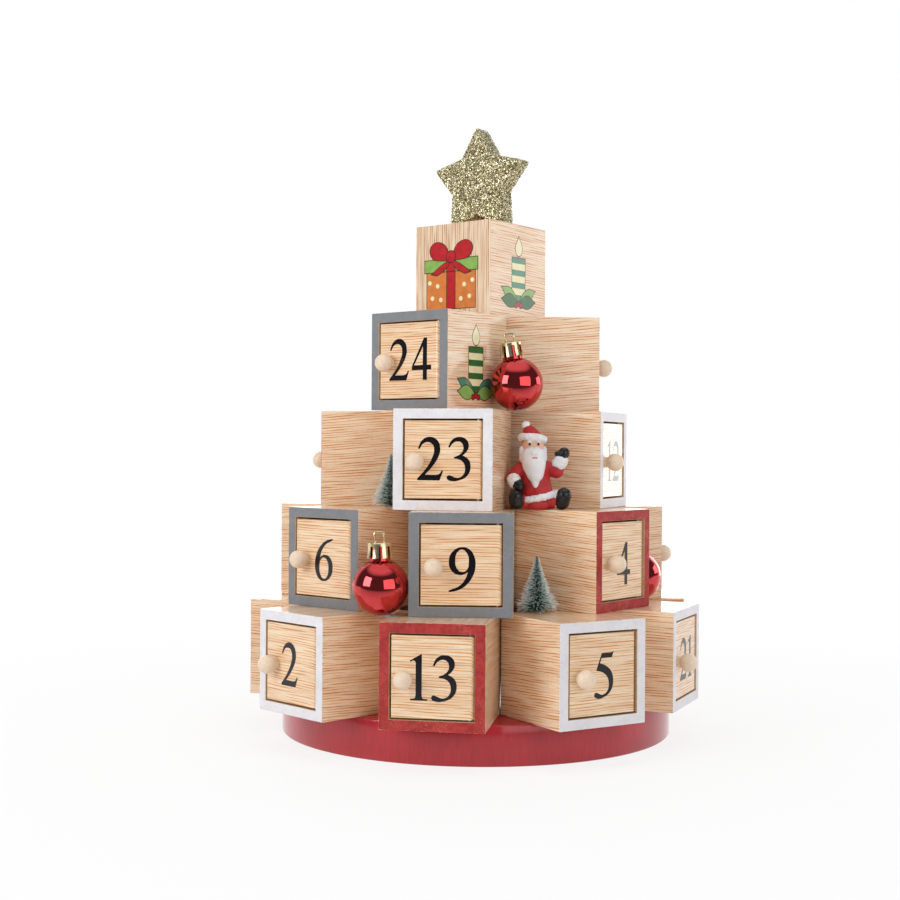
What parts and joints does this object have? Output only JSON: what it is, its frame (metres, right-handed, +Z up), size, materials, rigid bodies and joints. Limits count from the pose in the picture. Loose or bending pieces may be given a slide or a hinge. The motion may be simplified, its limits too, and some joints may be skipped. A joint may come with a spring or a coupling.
{
  "type": "wooden advent calendar",
  "caption": "Stepped round tower of small wooden boxes with numbered hinged doors on a red base, dressed with a star, baubles, little trees and a seated figure.",
  "frame": {"origin": "centre of the base's underside", "axes": "+Z up, -Y towards the viewer, +X to the viewer's right"},
  "size_m": [0.2688, 0.2847, 0.3574],
  "materials": {
    "base_paint": "red satin paint on wood",
    "printed_wood": "matt pale wood-grain print, with white, grey or red painted front edges",
    "door_wood": "matt pale wood grain with a dark numeral",
    "knob_wood": "bare turned wood, satin",
    "gold_glitter": "coarse champagne-gold glitter",
    "red_mirror": "mirror-bright red lacquer",
    "gold_cap": "bright gold",
    "green_bristle": "green bristles with frosted tips",
    "painted_resin": "satin hand paint on cast resin",
    "pin_steel": "bare steel"
  },
  "bodies": {
    "tower": {"base_disc": "base_paint", "tier_1_boxes": "printed_wood", "tier_2_boxes": "printed_wood", "tier_3_boxes": "printed_wood", "tier_4_boxes": "printed_wood", "hinge_pins": "pin_steel", "top_cube": "printed_wood", "star": "gold_glitter", "bauble_balls": "red_mirror", "bauble_caps": "gold_cap", "trees": "green_bristle", "seated_figure": "painted_resin"},
    "door_01": {"door_01": "door_wood", "knob_01": "knob_wood"},
    "door_02": {"door_02": "door_wood", "knob_02": "knob_wood"},
    "door_03": {"door_03": "door_wood", "knob_03": "knob_wood"},
    "door_04": {"door_04": "door_wood", "knob_04": "knob_wood"},
    "door_05": {"door_05": "door_wood", "knob_05": "knob_wood"},
    "door_06": {"door_06": "door_wood", "knob_06": "knob_wood"},
    "door_07": {"door_07": "door_wood", "knob_07": "knob_wood"},
    "door_08": {"door_08": "door_wood", "knob_08": "knob_wood"},
    "door_09": {"door_09": "door_wood", "knob_09": "knob_wood"},
    "door_10": {"door_10": "door_wood", "knob_10": "knob_wood"},
    "door_11": {"door_11": "door_wood", "knob_11": "knob_wood"},
    "door_12": {"door_12": "door_wood", "knob_12": "knob_wood"},
    "door_13": {"door_13": "door_wood", "knob_13": "knob_wood"},
    "door_14": {"door_14": "door_wood", "knob_14": "knob_wood"},
    "door_15": {"door_15": "door_wood", "knob_15": "knob_wood"},
    "door_16": {"door_16": "door_wood", "knob_16": "knob_wood"},
    "door_17": {"door_17": "door_wood", "knob_17": "knob_wood"},
    "door_18": {"door_18": "door_wood", "knob_18": "knob_wood"},
    "door_19": {"door_19": "door_wood", "knob_19": "knob_wood"},
    "door_20": {"door_20": "door_wood", "knob_20": "knob_wood"},
    "door_21": {"door_21": "door_wood", "knob_21": "knob_wood"},
    "door_22": {"door_22": "door_wood", "knob_22": "knob_wood"},
    "door_23": {"door_23": "door_wood", "knob_23": "knob_wood"},
    "door_24": {"door_24": "door_wood", "knob_24": "knob_wood"}
  },
  "joints": [
    {"name": "door_01_hinge", "type": "hinge", "parent": "tower", "child": "door_01", "pos_m": [0.03019, 0.11229, 0.1045], "axis": [0, 0, 1], "range_deg": [0, 95]},
    {"name": "door_02_hinge", "type": "hinge", "parent": "tower", "child": "door_02", "pos_m": [-0.08372, -0.10506, 0.0495], "axis": [0, 0, 1], "range_deg": [0, 95]},
    {"name": "door_03_hinge", "type": "hinge", "parent": "tower", "child": "door_03", "pos_m": [-0.04954, 0.05249, 0.2145], "axis": [0, 0, 1], "range_deg": [0, 95]},
    {"name": "door_04_hinge", "type": "hinge", "parent": "tower", "child": "door_04", "pos_m": [0.09052, -0.04865, 0.1045], "axis": [0, 0, 1], "range_deg": [0, 95]},
    {"name": "door_05_hinge", "type": "hinge", "parent": "tower", "child": "door_05", "pos_m": [0.08058, -0.10472, 0.0495], "axis": [0, 0, 1], "range_deg": [0, 95]},
    {"name": "door_06_hinge", "type": "hinge", "parent": "tower", "child": "door_06", "pos_m": [-0.06856, -0.07802, 0.1045], "axis": [0, 0, 1], "range_deg": [0, 95]},
    {"name": "door_07_hinge", "type": "hinge", "parent": "tower", "child": "door_07", "pos_m": [0.04557, 0.08663, 0.1595], "axis": [0, 0, 1], "range_deg": [0, 95]},
    {"name": "door_08_hinge", "type": "hinge", "parent": "tower", "child": "door_08", "pos_m": [0.12111, 0.04772, 0.0495], "axis": [0, 0, 1], "range_deg": [0, 95]},
    {"name": "door_09_hinge", "type": "hinge", "parent": "tower", "child": "door_09", "pos_m": [0.01105, -0.10728, 0.1045], "axis": [0, 0, 1], "range_deg": [0, 95]},
    {"name": "door_10_hinge", "type": "hinge", "parent": "tower", "child": "door_10", "pos_m": [-0.03585, 0.12595, 0.0495], "axis": [0, 0, 1], "range_deg": [0, 95]},
    {"name": "door_11_hinge", "type": "hinge", "parent": "tower", "child": "door_11", "pos_m": [-0.0641, 0.09702, 0.1045], "axis": [0, 0, 1], "range_deg": [0, 95]},
    {"name": "door_12_hinge", "type": "hinge", "parent": "tower", "child": "door_12", "pos_m": [0.08337, -0.00675, 0.1595], "axis": [0, 0, 1], "range_deg": [0, 95]},
    {"name": "door_13_hinge", "type": "hinge", "parent": "tower", "child": "door_13", "pos_m": [-0.00288, -0.13414, 0.0495], "axis": [0, 0, 1], "range_deg": [0, 95]},
    {"name": "door_14_hinge", "type": "hinge", "parent": "tower", "child": "door_14", "pos_m": [-0.05788, 0.08094, 0.1595], "axis": [0, 0, 1], "range_deg": [0, 95]},
    {"name": "door_15_hinge", "type": "hinge", "parent": "tower", "child": "door_15", "pos_m": [-0.10777, 0.07438, 0.0495], "axis": [0, 0, 1], "range_deg": [0, 95]},
    {"name": "door_16_hinge", "type": "hinge", "parent": "tower", "child": "door_16", "pos_m": [0.09944, 0.0436, 0.1045], "axis": [0, 0, 1], "range_deg": [0, 95]},
    {"name": "door_17_hinge", "type": "hinge", "parent": "tower", "child": "door_17", "pos_m": [-0.12727, -0.01567, 0.0495], "axis": [0, 0, 1], "range_deg": [0, 95]},
    {"name": "door_18_hinge", "type": "hinge", "parent": "tower", "child": "door_18", "pos_m": [-0.0877, -0.01723, 0.1595], "axis": [0, 0, 1], "range_deg": [0, 95]},
    {"name": "door_19_hinge", "type": "hinge", "parent": "tower", "child": "door_19", "pos_m": [0.05245, 0.11999, 0.0495], "axis": [0, 0, 1], "range_deg": [0, 95]},
    {"name": "door_20_hinge", "type": "hinge", "parent": "tower", "child": "door_20", "pos_m": [-0.11265, 0.01204, 0.1045], "axis": [0, 0, 1], "range_deg": [0, 95]},
    {"name": "door_21_hinge", "type": "hinge", "parent": "tower", "child": "door_21", "pos_m": [0.12317, -0.03153, 0.0495], "axis": [0, 0, 1], "range_deg": [0, 95]},
    {"name": "door_22_hinge", "type": "hinge", "parent": "tower", "child": "door_22", "pos_m": [0.06389, 0.01949, 0.2145], "axis": [0, 0, 1], "range_deg": [0, 95]},
    {"name": "door_23_hinge", "type": "hinge", "parent": "tower", "child": "door_23", "pos_m": [0.00069, -0.09081, 0.1595], "axis": [0, 0, 1], "range_deg": [0, 95]},
    {"name": "door_24_hinge", "type": "hinge", "parent": "tower", "child": "door_24", "pos_m": [-0.0215, -0.06889, 0.2145], "axis": [0, 0, 1], "range_deg": [0, 95]}
  ]
}
